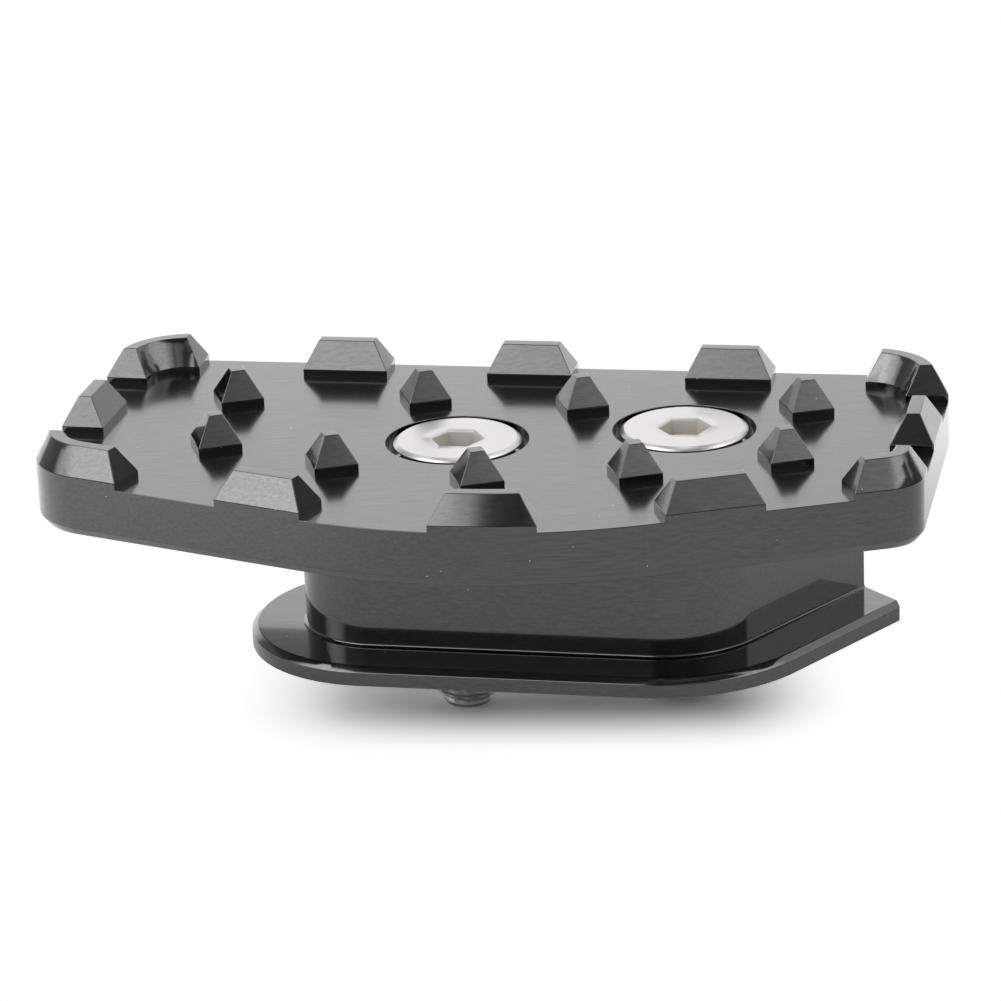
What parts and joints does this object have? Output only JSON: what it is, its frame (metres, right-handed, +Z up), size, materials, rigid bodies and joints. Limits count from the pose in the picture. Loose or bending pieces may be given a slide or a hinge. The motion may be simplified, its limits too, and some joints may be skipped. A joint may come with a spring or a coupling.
{
  "type": "brake pedal extension",
  "caption": "Enlarged studded foot plate for a motorbike brake pedal, clamped round the original pad by a flanged bracket and countersunk screws.",
  "frame": {"origin": "midway between the two screw axes, on the underside of the studded plate, where the pedal pad is clamped", "axes": "+X along the line of the two screws towards the cut-off end of the bracket, +Y towards the straight back edge of the plate, +Z up through the studs"},
  "size_m": [0.0825, 0.051, 0.0283],
  "materials": {
    "black_anodised": "glossy black anodised, finely milled",
    "stainless": "bright turned stainless"
  },
  "bodies": {
    "root": {"top_plate": "black_anodised", "clamp_bracket": "black_anodised", "screw_left": "stainless", "screw_right": "stainless"}
  },
  "joints": []
}
